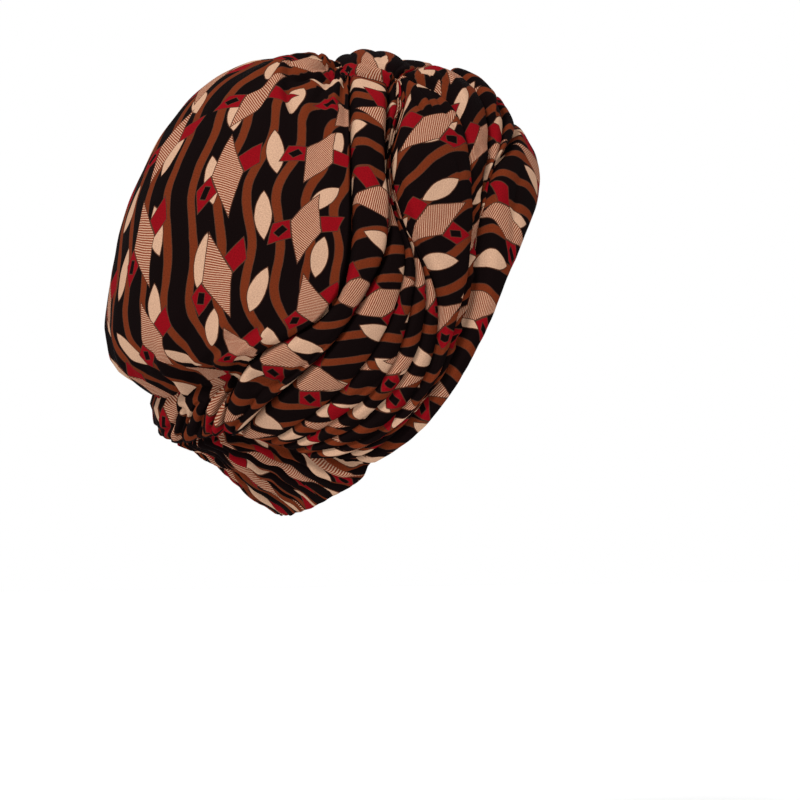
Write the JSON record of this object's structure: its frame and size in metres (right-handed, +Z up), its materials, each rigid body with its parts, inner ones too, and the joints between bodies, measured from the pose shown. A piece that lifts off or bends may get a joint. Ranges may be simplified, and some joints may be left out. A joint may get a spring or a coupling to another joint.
{
  "type": "turban headwrap",
  "caption": "Pre-shaped turban headwrap with a gathered crown bag, a twist on top, pleated wraps over the ears and brow, and a ruffled nape band.",
  "frame": {"origin": "inside of the crown under the twist, where the top of the head sits", "axes": "+Z up, the face looks along -Y, the wearer's right is -X"},
  "size_m": [0.1634, 0.214, 0.2339],
  "materials": {
    "printed_jersey": "matt knitted jersey with a printed geometric pattern in black, brown, red and beige"
  },
  "bodies": {
    "root": {"crown": "printed_jersey", "rear_roll": "printed_jersey", "nape_band": "printed_jersey", "rear_wrap_right": "printed_jersey", "rear_wrap_left": "printed_jersey", "front_wrap_right": "printed_jersey", "front_wrap_left": "printed_jersey", "brow_band": "printed_jersey", "twist_roll_front": "printed_jersey", "twist_roll_rear": "printed_jersey"}
  },
  "joints": []
}
